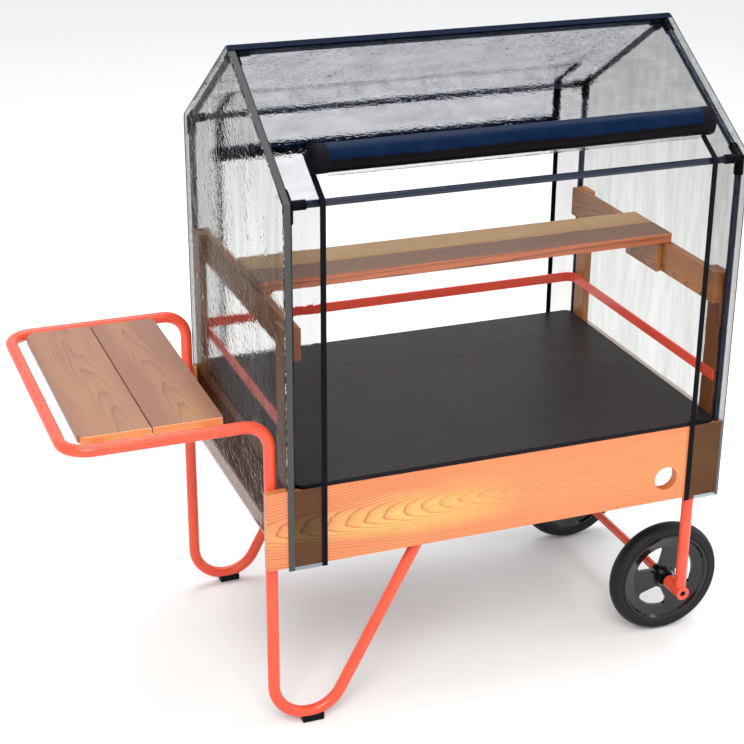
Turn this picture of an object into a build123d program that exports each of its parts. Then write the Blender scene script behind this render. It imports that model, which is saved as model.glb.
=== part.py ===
from build123d import *
import math
import os

# A push vending cart: a bent steel tube chassis with two wheels and two fixed feet carries a wooden
# box with a black deck.  A house-shaped frame of thin tubes over the deck holds a clear film cover with
# a rolled flap on each long side.  A wooden shelf runs across the inside, and a planked tray sits in the
# push handle's loop.
#
# Millimetres, +Z up, floor at z = 0.  Lengthwise sizes are first worked from the left end of the two
# long side boards (x = 0) and crosswise ones from the cart's middle plane (y = 0).  save() then moves
# every piece so that the origin lies on the floor under the middle of the whole cart's outline.

os.makedirs("parts", exist_ok=True)

# ---- driving sizes -------------------------------------------------------------------------------
APRON_L = 1150.0  # long side boards, end to end
APRON_H = 192.0
APRON_T = 24.0
APRON_TOP = 632.0
CART_W = 780.0  # over the outer faces of the long side boards
LEFT_OVERHANG = 70.0  # of the long boards, past the left end board

TUBE_R = 14.0  # chassis tube, 28 mm outside
TUBE_WALL = 2.0
TRAY_TUBE_Z = 786.0
LEG_X = 20.5
LOOP_X = -427.0
LOOP_BEND_R = 60.0
TUBE_BEND_R = 58.0
SEAM_X = -134.0
FOOT_BEND_R = 87.0
FOOT_SLOPE = 62.0  # degrees above the floor of the leg's sloping half
FOOT_PAD_T = 10.0

WHEEL_R = 150.0
WHEEL_X = APRON_L - 52.0
WHEEL_MID_Y = 264.0
TYRE_W = 42.0
RIM_R = 120.0
RIM_W = 38.0
HUB_L = 60.0
AXLE_R = 7.5

POST_W = 56.0
POST_T = 18.0
DECK_T = 10.0
DECK_HALF_L = (APRON_L - LEFT_OVERHANG - POST_T) / 2
BOX_MID = LEFT_OVERHANG + DECK_HALF_L  # middle of the deck and of the cover, from the boards' left end
DECK_CORNER_R = 20.0
BATTEN_H = 30.0

RAIL_TOP = 1006.5
RAIL_H = 76.0
RAIL_T = 22.0
SHELF_T = 24.0
SHELF_HALF_L = DECK_HALF_L - 5.0
SHELF_PLANK_W = 92.0
SHELF_FRONT_Y = -135.0
GUARD_Z = 733.0
GUARD_H = 25.0
GUARD_T = 5.0

COVER_TUBE_R = 8.0
COVER_WALL = 1.2
POLE_HALF_X = DECK_HALF_L + 7.5
EAVE_Z = 1285.0
RIDGE_Z = 1525.0
FILM_T = 1.2
FILM_OFF = 13.1  # middle of the film outside the middle of the cover tubes
FILM_HEM_Z = 433.0
OPENING_HALF_X = DECK_HALF_L - 64.0  # to the middle of the edge bindings
OPENING_HEAD_S = 120.0  # up the roof slope from the eave fold to the flap's seam
BINDING_W = 13.0
BINDING_T = 1.5
FRONT_ROLL_R = 34.0
FRONT_ROLL_S = 84.0
BACK_ROLL_R = 19.0
BACK_ROLL_Z = 1177.0

# ---- clearances ----------------------------------------------------------------------------------
SEAT = 0.3  # between pieces that are fastened face to face
SNUG = 0.1  # between a plug and its socket
RUN = 0.05  # radial, between the axle and the wheel bushes
SIDE_PLAY = 0.5  # beside a turning wheel hub

# ---- sizes that follow ---------------------------------------------------------------------------
APRON_OUT = CART_W / 2
APRON_IN = APRON_OUT - APRON_T
APRON_BOTTOM = APRON_TOP - APRON_H
SIDE_Y = APRON_IN - SEAT - TUBE_R  # plane of each bent side frame
BATTEN_Z = APRON_TOP - BATTEN_H
CHASSIS_RAIL_Z = BATTEN_Z - SEAT - TUBE_R
FOOT_LOW_Z = FOOT_PAD_T + TUBE_R
DECK_Z = APRON_TOP + SEAT
POST_IN = DECK_HALF_L + SNUG
POLE_Y = APRON_OUT - APRON_T / 2
ROOF = math.atan2(RIDGE_Z - EAVE_Z, POLE_Y)
FILM_Y = POLE_Y + FILM_OFF
FILM_X = POLE_HALF_X + FILM_OFF
# The film's folds are where its offset planes cross.
EAVE_FOLD_Z = EAVE_Z + (FILM_OFF - FILM_OFF * math.sin(ROOF)) / math.cos(ROOF)
RIDGE_FOLD_Z = RIDGE_Z + FILM_OFF / math.cos(ROOF)
FILM_OUT_Y = FILM_Y + FILM_T / 2
FLAP_LIFT = FILM_T / 2 + BINDING_T + SEAT  # inner face of both flaps, outside the film's middle
BACK_FLAP_Y = FILM_Y + FLAP_LIFT
BACK_ROLL_Y = BACK_FLAP_Y + FILM_T + SNUG + BACK_ROLL_R

LEFT_END = LOOP_X - TUBE_R
RIGHT_END = WHEEL_X + WHEEL_R
FRONT_END = FILM_OUT_Y + BINDING_T
BACK_END = BACK_ROLL_Y + BACK_ROLL_R
TO_ORIGIN = Pos(-(LEFT_END + RIGHT_END) / 2, (FRONT_END - BACK_END) / 2, 0)


def save(shape, name):
    """Writes one node, moved to the cart's origin."""
    export_step(TO_ORIGIN * shape, f"parts/{name}.step")


def group(pieces):
    """Joins separate solids into one node."""
    return Compound(list(pieces))


def block(x0, x1, y0, y1, z0, z1):
    """A box between two opposite corners."""
    return Pos(x0, y0, z0) * Box(x1 - x0, y1 - y0, z1 - z0, align=(Align.MIN, Align.MIN, Align.MIN))


def board(x0, x1, y0, y1, z0, z1, ease=1.5):
    """A planed board with eased edges."""
    plain = block(x0, x1, y0, y1, z0, z1)
    return chamfer(plain.edges(), ease)


def rod(start, end, radius):
    """A round bar from one point to another."""
    axis = Vector(*end) - Vector(*start)
    upright = Cylinder(radius, axis.length, align=(Align.CENTER, Align.CENTER, Align.MIN))
    return Plane(origin=start, z_dir=axis) * upright


def pipe(start, end, outer, wall):
    """A straight tube."""
    return rod(start, end, outer) - rod(start, end, outer - wall)


def bent(points, radii, outer, inner=0.0):
    """A tube or bar swept along straight runs with tangent arcs."""
    path = FilletPolyline(*points, radius=radii)
    section = Circle(outer) - Circle(inner) if inner else Circle(outer)
    return sweep(Plane(origin=path @ 0, z_dir=path % 0) * section, path=path)


def both_sides(shape):
    """A piece and its mirror image across the cart's middle plane."""
    return [shape, mirror(shape, about=Plane.XZ)]


def both_ends(shape):
    """A piece and its mirror image across the middle of the box."""
    return [shape, mirror(shape, about=Plane.YZ.offset(BOX_MID))]


# ---- chassis: two bent side frames, the push loop between them, feet ------------------------------
def side_path():
    """Corner points and bend radii of the near side frame, from the loop's seam to the wheel."""
    steep = math.radians(FOOT_SLOPE)
    turn = math.pi / 2 + steep  # the foot turns from straight down to sloping up
    foot_x = LEG_X
    foot_z = FOOT_LOW_Z + FOOT_BEND_R - FOOT_BEND_R * math.tan(turn / 2)
    knee_x = foot_x + (CHASSIS_RAIL_Z - foot_z) / math.tan(steep)
    points = [
        (SEAM_X, -SIDE_Y, TRAY_TUBE_Z),
        (LEG_X, -SIDE_Y, TRAY_TUBE_Z),
        (foot_x, -SIDE_Y, foot_z),
        (knee_x, -SIDE_Y, CHASSIS_RAIL_Z),
        (WHEEL_X, -SIDE_Y, CHASSIS_RAIL_Z),
        (WHEEL_X, -SIDE_Y, WHEEL_R),
    ]
    return points, [TUBE_BEND_R, FOOT_BEND_R, TUBE_BEND_R, TUBE_BEND_R]


BOSS_R = 17.5
BOSS_FACE_Y = SIDE_Y + TUBE_R + 2.0
BOSS_BACK_Y = WHEEL_MID_Y + HUB_L / 2 + 6.0
BOLT_R = 3.0
BOLT_XS = (BOX_MID + 19.0, BOX_MID + 379.0)
BOLT_DEPTH = 16.0  # into the long board


def bolt_axis(x, y_from, y_to, radius):
    """A round bar across the near side rail at one bolt."""
    return rod((x, y_from, CHASSIS_RAIL_Z), (x, y_to, CHASSIS_RAIL_Z), radius)


def side_frame():
    """The near side frame with the welded axle boss at its lower end."""
    points, radii = side_path()
    tube = bent(points, radii, TUBE_R, TUBE_R - TUBE_WALL)
    boss = rod((WHEEL_X, -BOSS_FACE_Y, WHEEL_R), (WHEEL_X, -BOSS_BACK_Y, WHEEL_R), BOSS_R)
    bore = rod((WHEEL_X, -BOSS_FACE_Y - 1, WHEEL_R), (WHEEL_X, -BOSS_BACK_Y + 1, WHEEL_R), AXLE_R + SNUG)
    frame = tube + boss - bore
    for x in BOLT_XS:
        frame -= bolt_axis(x, -SIDE_Y - 2 * TUBE_R, -SIDE_Y + 2 * TUBE_R, BOLT_R + SNUG)
    return frame


def push_loop():
    """The level loop that is both push handle and tray frame."""
    points = [
        (SEAM_X - SNUG, -SIDE_Y, TRAY_TUBE_Z),
        (LOOP_X, -SIDE_Y, TRAY_TUBE_Z),
        (LOOP_X, SIDE_Y, TRAY_TUBE_Z),
        (SEAM_X - SNUG, SIDE_Y, TRAY_TUBE_Z),
    ]
    return bent(points, [LOOP_BEND_R, LOOP_BEND_R], TUBE_R, TUBE_R - TUBE_WALL)


def loop_spigot():
    """A sleeve inside the joint between the loop and a side frame."""
    reach = 30.0
    start = (SEAM_X - reach, -SIDE_Y, TRAY_TUBE_Z)
    end = (SEAM_X + reach, -SIDE_Y, TRAY_TUBE_Z)
    return pipe(start, end, TUBE_R - TUBE_WALL - SNUG, TUBE_WALL)


def foot_pad():
    """A rubber pad that cups the lowest part of the near foot."""
    length, width, height = 52.0, 26.0, 19.0
    middle = LEG_X + FOOT_BEND_R + 6.0
    pad = block(middle - length / 2, middle + length / 2, -SIDE_Y - width / 2, -SIDE_Y + width / 2, 0, height)
    pad = chamfer(pad.edges().group_by(Axis.Z)[0], 2.0)
    points, radii = side_path()
    return pad - bent(points[1:4], radii[1:2], TUBE_R + SNUG)


near_side = side_frame()
save(near_side, "side_frame_front")
save(mirror(near_side, about=Plane.XZ), "side_frame_back")
save(push_loop(), "push_loop")
save(group(both_sides(loop_spigot())), "loop_spigots")
near_pad = foot_pad()
save(near_pad, "foot_pad_front")
save(mirror(near_pad, about=Plane.XZ), "foot_pad_back")

# ---- axle ----------------------------------------------------------------------------------------
AXLE_END_Y = BOSS_FACE_Y - 7.0
HUB_IN_Y = WHEEL_MID_Y - HUB_L / 2
HUB_OUT_Y = WHEEL_MID_Y + HUB_L / 2
SCREW_R = 4.0
SCREW_DEPTH = 24.0
CROSS_TUBE_R = 11.0
INNER_WASHER_T = 3.0
WASHER_RIM = 5.5


def axle_line(y_from, y_to, radius):
    """A round bar on the wheels' axis."""
    return rod((WHEEL_X, y_from, WHEEL_R), (WHEEL_X, y_to, WHEEL_R), radius)


def axle():
    """The rod through both wheels, tapped at each end."""
    bar = axle_line(-AXLE_END_Y, AXLE_END_Y, AXLE_R)
    for side in (-1, 1):
        bar -= axle_line(side * (AXLE_END_Y + 1), side * (AXLE_END_Y - SCREW_DEPTH - 1), SCREW_R + SNUG)
    return bar


def axle_screw():
    """The near end screw, with a hexagon socket in its head."""
    head_h, socket_across, socket_depth = 5.0, 8.0, 3.5
    top = -AXLE_END_Y - SNUG - head_h
    seat = -AXLE_END_Y - SNUG
    screw = axle_line(top, seat, AXLE_R) + axle_line(seat, -AXLE_END_Y + SCREW_DEPTH, SCREW_R)
    mouth = Plane(origin=(WHEEL_X, top, WHEEL_R), z_dir=(0, 1, 0))
    socket = extrude(mouth * RegularPolygon(socket_across / 2, 6, major_radius=False), socket_depth)
    return screw - socket


def washer(y_from, y_to):
    """A spacer ring on the axle."""
    return axle_line(y_from, y_to, AXLE_R + WASHER_RIM) - axle_line(y_from - 1, y_to + 1, AXLE_R + SNUG)


save(axle(), "axle_rod")
save(group(both_sides(axle_screw())), "axle_end_screws")
cross_end = HUB_IN_Y - SIDE_PLAY - INNER_WASHER_T
cross_bore = axle_line(-cross_end - 1, cross_end + 1, AXLE_R + SNUG)
save(axle_line(-cross_end, cross_end, CROSS_TUBE_R) - cross_bore, "axle_cross_tube")
outer_washer = washer(-BOSS_BACK_Y + SNUG, -HUB_OUT_Y - SIDE_PLAY)
inner_washer = washer(-HUB_IN_Y + SIDE_PLAY, -cross_end - SNUG)
save(group(both_sides(outer_washer) + both_sides(inner_washer)), "axle_washers")

# ---- wheels --------------------------------------------------------------------------------------
HUB_R = 19.0
BUSH_R = 11.0
SPOKE_COUNT = 3
WINDOW_TURN = 7.0  # degrees from +X of the first window between spokes


def wheel_plane(y):
    """A sketch plane square to the near wheel's axis, with its X along the cart."""
    return Plane(origin=(WHEEL_X, y, WHEEL_R), x_dir=(1, 0, 0), z_dir=(0, -1, 0))


def turned(points):
    """Spins an outline of (distance from the axle, distance from the wheel's middle) about the axle."""
    lay = Plane(origin=(WHEEL_X, -WHEEL_MID_Y, WHEEL_R), x_dir=(1, 0, 0), z_dir=(0, 0, 1))
    outline = make_face(Polyline(*points, close=True))
    return revolve(lay * outline, axis=Axis((WHEEL_X, -WHEEL_MID_Y, WHEEL_R), (0, 1, 0)))


def tyre():
    """A solid rubber tyre with a rounded tread and a seat for the rim's flange."""
    half, seat_r, lip = TYRE_W / 2, RIM_R + SNUG, 4.0
    lay = Plane(origin=(WHEEL_X, -WHEEL_MID_Y, WHEEL_R), x_dir=(1, 0, 0), z_dir=(0, 0, 1))
    shoulder = WHEEL_R - 9.0
    edge = ThreePointArc((shoulder, -half), (WHEEL_R, 0), (shoulder, half))
    rest = Polyline(
        (shoulder, half), (seat_r + lip, half), (seat_r, half - lip),
        (seat_r, lip - half), (seat_r + lip, -half), (shoulder, -half))
    outline = make_face(edge + rest)
    return revolve(lay * outline, axis=Axis((WHEEL_X, -WHEEL_MID_Y, WHEEL_R), (0, 1, 0)))


def window(angle):
    """One rounded three-cornered opening between two spokes."""
    inner, outer, half_in, half_out, corner = 33.0, 85.0, 8.0, 50.0, 11.0
    rim_point = math.sqrt(outer ** 2 - half_out ** 2)
    sides = Polyline((rim_point, half_out), (inner, half_in), (inner, -half_in), (rim_point, -half_out))
    rim_arc = ThreePointArc((rim_point, -half_out), (outer, 0), (rim_point, half_out))
    face = make_face(sides + rim_arc)
    face = fillet(face.vertices().sort_by(Axis.X)[:2], corner * 0.6)
    face = fillet(face.vertices().sort_by(Axis.X)[-2:], corner)
    return extrude(wheel_plane(-WHEEL_MID_Y) * Rot(0, 0, angle) * face, RIM_W, both=True)


def rim():
    """The three-spoked wheel centre: rim, dished web and hub in one casting."""
    half, hub_half, bore = RIM_W / 2, HUB_L / 2, BUSH_R + SNUG
    dish_out, dish_in = (86.0, 5.0), (28.0, 6.0)  # the web's radius and half thickness at each end
    flange = [(RIM_R, half), (RIM_R - 5, half), (RIM_R - 10, half - 7)]
    outer_half = flange + [dish_out, dish_in, (HUB_R, hub_half), (bore, hub_half)]
    shape = turned(outer_half + [(radius, -across_wheel) for radius, across_wheel in reversed(outer_half)])
    for turn in range(SPOKE_COUNT):
        shape -= window(WINDOW_TURN + turn * 360 / SPOKE_COUNT)
    return shape


def bush(outer_y, inner_y):
    """A plain plastic bush pressed into one end of the near hub."""
    past = math.copysign(2.0, outer_y - inner_y)
    return axle_line(outer_y, inner_y, BUSH_R) - axle_line(outer_y + past, inner_y - past, AXLE_R + RUN)


near_tyre = tyre()
near_rim = rim()
bush_l = 22.0
near_bushes = group([bush(-HUB_OUT_Y, -HUB_OUT_Y + bush_l), bush(-HUB_IN_Y, -HUB_IN_Y - bush_l)])
for name, shape in (("tyre", near_tyre), ("wheel_centre", near_rim), ("wheel_bushes", near_bushes)):
    save(shape, f"{name}_front")
    save(mirror(shape, about=Plane.XZ), f"{name}_back")

# ---- wooden box ----------------------------------------------------------------------------------
PORT_R = 30.0
PORT_X = APRON_L - 142.0
PORT_Z = APRON_BOTTOM + 61.0
END_BOARD_T = 18.0
BATTEN_XS = (BOX_MID - 301.0, BOX_MID, BOX_MID + 279.0)
BATTEN_W = 45.0


def apron():
    """The near long side board, with blind holes for the chassis bolts."""
    side = board(0, APRON_L, -APRON_OUT, -APRON_IN, APRON_BOTTOM, APRON_TOP)
    for x in BOLT_XS:
        side -= bolt_axis(x, -APRON_IN + 1, -APRON_IN - BOLT_DEPTH - 1, BOLT_R + SNUG)
    return side


def chassis_bolt(x):
    """A hexagon bolt through the near side rail into its board, head inside the cart."""
    head_y = -SIDE_Y + TUBE_R + SNUG
    seat = Plane(origin=(x, head_y, CHASSIS_RAIL_Z), z_dir=(0, 1, 0))
    head = extrude(seat * RegularPolygon(5.0, 6, major_radius=False), 4.0)
    return bolt_axis(x, head_y, -APRON_IN - BOLT_DEPTH, BOLT_R) + head


plain_side = apron()
port = rod((PORT_X, -APRON_OUT - 1, PORT_Z), (PORT_X, -APRON_IN + 1, PORT_Z), PORT_R)
save(plain_side - port, "side_board_front")
save(mirror(plain_side, about=Plane.XZ), "side_board_back")
save(group([piece for x in BOLT_XS for piece in both_sides(chassis_bolt(x))]), "chassis_bolts")

end_out = BOX_MID - DECK_HALF_L
end_board_y = APRON_IN - SNUG
left_end_board = board(end_out, end_out + END_BOARD_T, -end_board_y, end_board_y, APRON_BOTTOM, APRON_TOP)
left_rail = board(end_out - SNUG + SEAT, end_out + RAIL_T, -APRON_IN, APRON_IN, RAIL_TOP - RAIL_H, RAIL_TOP)
for name, shape in (("end_board", left_end_board), ("end_rail", left_rail)):
    for side, piece in zip(("left", "right"), both_ends(shape)):
        save(piece, f"{name}_{side}")

POST_FOOT_Z = APRON_BOTTOM + 20.0
front_left_post = board(
    BOX_MID - POST_IN - POST_T, BOX_MID - POST_IN, SNUG - APRON_IN, POST_W - APRON_IN, POST_FOOT_Z, RAIL_TOP)
for end, at_end in zip(("left", "right"), both_ends(front_left_post)):
    for side, piece in zip(("front", "back"), both_sides(at_end)):
        save(piece, f"corner_post_{side}_{end}")

battens = [
    board(x - BATTEN_W / 2, x + BATTEN_W / 2, -APRON_IN + SEAT, APRON_IN - SEAT, BATTEN_Z, APRON_TOP)
    for x in BATTEN_XS
]
save(group(battens), "deck_battens")

deck_outline = Pos(BOX_MID, 0, DECK_Z) * RectangleRounded(2 * DECK_HALF_L, CART_W, DECK_CORNER_R)
deck = extrude(deck_outline, DECK_T)
save(chamfer(deck.edges().group_by(Axis.Z)[-1], 1.2), "deck_panel")

# ---- guard bar: a flat bar round the back and both ends, open to the front -----------------------
guard_x = POST_IN - SEAT - GUARD_T / 2
guard_y = APRON_OUT - 11.5
guard_path = FilletPolyline(
    (BOX_MID - guard_x, -APRON_IN, GUARD_Z + GUARD_H / 2),
    (BOX_MID - guard_x, guard_y, GUARD_Z + GUARD_H / 2),
    (BOX_MID + guard_x, guard_y, GUARD_Z + GUARD_H / 2),
    (BOX_MID + guard_x, -APRON_IN, GUARD_Z + GUARD_H / 2),
    radius=20.0)
guard_start = Plane(origin=guard_path @ 0, x_dir=(1, 0, 0), z_dir=guard_path % 0)
save(sweep(guard_start * Rectangle(GUARD_T, GUARD_H), path=guard_path), "guard_bar")

# ---- shelf: two planks on a cleat at each end, sliding to and fro on the end rails ----------------
SHELF_Z = RAIL_TOP + SEAT
PLANK_GAP = 2.0
CLEAT_T = 12.0
shelf_back_y = SHELF_FRONT_Y + 2 * SHELF_PLANK_W + PLANK_GAP
for name, y in (("front", SHELF_FRONT_Y), ("back", shelf_back_y - SHELF_PLANK_W)):
    start, end = BOX_MID - SHELF_HALF_L, BOX_MID + SHELF_HALF_L
    save(board(start, end, y, y + SHELF_PLANK_W, SHELF_Z, SHELF_Z + SHELF_T), f"shelf_plank_{name}")
CLEAT_INSET = 15.0  # of each cleat's ends from the shelf's long edges
cleat_out = end_out + RAIL_T + SEAT
cleat_front, cleat_back = SHELF_FRONT_Y + CLEAT_INSET, shelf_back_y - CLEAT_INSET
cleat_low = RAIL_TOP - RAIL_H - 2.0
left_cleat = board(cleat_out, cleat_out + CLEAT_T, cleat_front, cleat_back, cleat_low, SHELF_Z, ease=1.0)
for side, piece in zip(("left", "right"), both_ends(left_cleat)):
    save(piece, f"shelf_cleat_{side}")

# ---- tray: two planks on two flat bearers inside the push loop ------------------------------------
TRAY_PLANK_T = 18.0
TRAY_TOP = TRAY_TUBE_Z + TUBE_R + 2.0
TRAY_HALF_W = 317.0
TRAY_LEFT = LOOP_X + TUBE_R + 23.0
TRAY_RIGHT = LEG_X - 91.5
BEARER_T = 5.0
BEARER_W = 30.0
BEARER_XS = (TRAY_LEFT + 40.0, TRAY_RIGHT - 30.0)
tray_mid = (TRAY_LEFT + TRAY_RIGHT) / 2
plank_z = TRAY_TOP - TRAY_PLANK_T


def tray_plank(x0, x1, round_side):
    """One tray plank; the pair's outer corners are rounded."""
    plank = block(x0, x1, -TRAY_HALF_W, TRAY_HALF_W, plank_z, TRAY_TOP)
    corners = plank.edges().filter_by(Axis.Z).group_by(Axis.X)[round_side]
    plank = fillet(corners, 24.0 if round_side == 0 else 6.0)
    return chamfer(plank.edges().group_by(Axis.Z)[-1], 1.5)


save(tray_plank(TRAY_LEFT, tray_mid - PLANK_GAP / 2, 0), "tray_plank_left")
save(tray_plank(tray_mid + PLANK_GAP / 2, TRAY_RIGHT, -1), "tray_plank_right")
bearer_end = SIDE_Y - TUBE_R
bearer_top = plank_z - SNUG
bearers = [
    block(x - BEARER_W / 2, x + BEARER_W / 2, -bearer_end, bearer_end, bearer_top - BEARER_T, bearer_top)
    for x in BEARER_XS
]
save(group(bearers), "tray_bearers")

# ---- cover frame: four posts, four rafters, eave and ridge tubes, plastic corners -----------------
SOCKET_R = 11.0
SOCKET_L = 38.0
TUBE_START = 14.0  # each tube's end from the middle of its corner
LEFT_X = BOX_MID - POLE_HALF_X
RIGHT_X = BOX_MID + POLE_HALF_X
ALONG = Vector(1, 0, 0)
DOWN = Vector(0, 0, -1)
FRONT_UP = Vector(0, math.cos(ROOF), math.sin(ROOF))  # up the front roof slope
BACK_UP = Vector(0, -math.cos(ROOF), math.sin(ROOF))


def corner_piece(at, ways):
    """A plastic corner with one socket along each direction."""
    at = Vector(*at)
    shape = Pos(*at) * Sphere(SOCKET_R + 0.5)
    for way in ways:
        shape += rod(tuple(at), tuple(at + way * SOCKET_L), SOCKET_R)
    for way in ways:
        shape -= rod(tuple(at + way * TUBE_START), tuple(at + way * (SOCKET_L + 1)), COVER_TUBE_R + SNUG / 2)
    return shape


def cover_tube(start, end):
    """A thin steel tube between two corners, plugged into both."""
    start, end = Vector(*start), Vector(*end)
    way = (end - start).normalized()
    return pipe(tuple(start + way * TUBE_START), tuple(end - way * TUBE_START), COVER_TUBE_R, COVER_WALL)


for side, y in (("front", -POLE_Y), ("back", POLE_Y)):
    posts = [pipe((x, y, APRON_TOP + SNUG), (x, y, EAVE_Z - TUBE_START), COVER_TUBE_R, COVER_WALL)
             for x in (LEFT_X, RIGHT_X)]
    save(group(posts), f"cover_posts_{side}")
    save(cover_tube((LEFT_X, y, EAVE_Z), (RIGHT_X, y, EAVE_Z)), f"eave_tube_{side}")
    rafters = [cover_tube((x, y, EAVE_Z), (x, 0, RIDGE_Z)) for x in (LEFT_X, RIGHT_X)]
    save(group(rafters), f"rafters_{side}")
save(cover_tube((LEFT_X, 0, RIDGE_Z), (RIGHT_X, 0, RIDGE_Z)), "ridge_tube")

front_left_corner = corner_piece((LEFT_X, -POLE_Y, EAVE_Z), [ALONG, DOWN, FRONT_UP])
eave_corners = [piece for end in both_ends(front_left_corner) for piece in both_sides(end)]
save(group(eave_corners), "eave_corners")
left_ridge_corner = corner_piece((LEFT_X, 0, RIDGE_Z), [ALONG, FRONT_UP * -1, BACK_UP * -1])
save(group(both_ends(left_ridge_corner)), "ridge_corners")


# ---- film cover ----------------------------------------------------------------------------------
def roof_point(slope_s, lift):
    """(y, z) on the front roof: slope_s up from the eave fold and lift out of the film's middle."""
    y = -FILM_Y + slope_s * math.cos(ROOF) - lift * math.sin(ROOF)
    z = EAVE_FOLD_Z + slope_s * math.sin(ROOF) + lift * math.cos(ROOF)
    return y, z


def across(outline, x0, x1):
    """Stretches a closed (y, z) outline along the cart from x0 to x1, given from the box's middle."""
    start = Plane(origin=(BOX_MID + x0, 0, 0), x_dir=(0, 1, 0), z_dir=(1, 0, 0))
    return extrude(start * make_face(Polyline(*outline, close=True)), x1 - x0)


def eave_band(foot_z, head_s, lift, thick):
    """Outline of a sheet that hangs at the front, folds at the eave and runs up the roof.

    lift is how far its inner face lies outside the film's middle."""
    outer = lift + thick
    fold = math.tan((math.pi / 2 - ROOF) / 2)  # how far the fold rises for each mm outward
    inner_face = [
        (-FILM_Y - lift, foot_z),
        (-FILM_Y - lift, EAVE_FOLD_Z + lift * fold),
        roof_point(head_s, lift),
    ]
    outer_face = [
        roof_point(head_s, outer),
        (-FILM_Y - outer, EAVE_FOLD_Z + outer * fold),
        (-FILM_Y - outer, foot_z),
    ]
    return inner_face + outer_face


SLOPE_L = FILM_Y / math.cos(ROOF)
half_film = FILM_T / 2
film_out_x = FILM_X + half_film
strip_in = OPENING_HALF_X
strip = across(eave_band(FILM_HEM_Z, OPENING_HEAD_S, -half_film, FILM_T), -film_out_x, -strip_in)
front_strips = both_ends(strip)
save(group(front_strips), "film_strips_front")
save(group([mirror(piece, about=Plane.XZ) for piece in front_strips]), "film_strips_back")

ridge_drop = half_film * math.tan(ROOF)
roof_outline = [
    roof_point(OPENING_HEAD_S + SNUG, -half_film), roof_point(SLOPE_L - ridge_drop, -half_film),
    roof_point(SLOPE_L + ridge_drop, half_film), roof_point(OPENING_HEAD_S + SNUG, half_film),
]
front_roof = across(roof_outline, -film_out_x, film_out_x)
save(front_roof, "film_roof_front")
save(mirror(front_roof, about=Plane.XZ), "film_roof_back")

# Each gable sheet stops just inside the front, back and roof sheets.
inset = half_film + SNUG
eave_in_z = EAVE_FOLD_Z - inset * math.tan((math.pi / 2 - ROOF) / 2)
ridge_in_z = RIDGE_FOLD_Z - inset / math.cos(ROOF)
side_in_y = FILM_Y - inset
slot_z = APRON_TOP + 1.0
slot_y = APRON_IN - 1.0
gable_top = [(-side_in_y, eave_in_z), (0, ridge_in_z), (side_in_y, eave_in_z)]
right_outline = [(-side_in_y, FILM_HEM_Z)] + gable_top + [(side_in_y, FILM_HEM_Z)]
right_gable = across(right_outline, FILM_X - half_film, FILM_X + half_film)
front_notch = [(-slot_y, FILM_HEM_Z), (-slot_y, slot_z), (-side_in_y, slot_z)]
back_notch = [(side_in_y, slot_z), (slot_y, slot_z), (slot_y, FILM_HEM_Z)]
left_gable = across(front_notch + gable_top + back_notch, -FILM_X - half_film, -FILM_X + half_film)
save(right_gable, "film_gable_right")
save(left_gable, "film_gable_left")

# Woven tapes: a grey one down the left gable's front corner, a dark one over the ridge, and dark
# bindings along both edges of each opening.
TAPE_T = 1.0
TAPE_W = 14.0
SEAM_TOP_S = SLOPE_L - 18.0
left_tape_outline = eave_band(FILM_HEM_Z, SEAM_TOP_S, half_film + SNUG, TAPE_T)
save(across(left_tape_outline, -film_out_x, -film_out_x + TAPE_W), "seam_tape_left")

RIDGE_TAPE_W = 15.0
ridge_lift = half_film + SNUG
ridge_outline = [
    roof_point(SLOPE_L - RIDGE_TAPE_W, ridge_lift),
    (0, RIDGE_FOLD_Z + ridge_lift / math.cos(ROOF)),
    (0, RIDGE_FOLD_Z + (ridge_lift + TAPE_T) / math.cos(ROOF)),
    roof_point(SLOPE_L - RIDGE_TAPE_W, ridge_lift + TAPE_T),
]
save(group(both_sides(across(ridge_outline, -film_out_x, film_out_x))), "ridge_tape")

binding = across(
    eave_band(FILM_HEM_Z, OPENING_HEAD_S, half_film + SNUG, BINDING_T - SNUG),
    -OPENING_HALF_X - BINDING_W / 2, -OPENING_HALF_X + BINDING_W / 2)
front_bindings = both_ends(binding)
save(group(front_bindings), "opening_bindings_front")
save(group([mirror(piece, about=Plane.XZ) for piece in front_bindings]), "opening_bindings_back")

# ---- front flap, rolled up on the roof slope ------------------------------------------------------
roll_half_x = OPENING_HALF_X + BINDING_W / 2
roll_y, roll_z = roof_point(FRONT_ROLL_S, FLAP_LIFT + FRONT_ROLL_R)
roll_left = BOX_MID - roll_half_x
roll_right = BOX_MID + roll_half_x
save(rod((roll_left, roll_y, roll_z), (roll_right, roll_y, roll_z), FRONT_ROLL_R), "flap_roll_front")

# ---- back flap: its head lies on the roof, its free length hangs, and the rest is a small roll ----
HEAD_END_Z = EAVE_FOLD_Z - 12.0
HEAD_TOP_S = OPENING_HEAD_S + 14.0
head = across(eave_band(HEAD_END_Z, HEAD_TOP_S, FLAP_LIFT, FILM_T), -roll_half_x, roll_half_x)
save(mirror(head, about=Plane.XZ), "flap_head_back")
flap_out_y = BACK_FLAP_Y + FILM_T
sheet = block(roll_left, roll_right, BACK_FLAP_Y, flap_out_y, BACK_ROLL_Z, HEAD_END_Z - SNUG)
save(sheet, "flap_sheet_back")
back_roll = rod((roll_left, BACK_ROLL_Y, BACK_ROLL_Z), (roll_right, BACK_ROLL_Y, BACK_ROLL_Z), BACK_ROLL_R)
save(back_roll, "flap_roll_back")
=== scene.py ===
import math

import bmesh
import bpy
from mathutils import Matrix, Vector, noise


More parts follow.
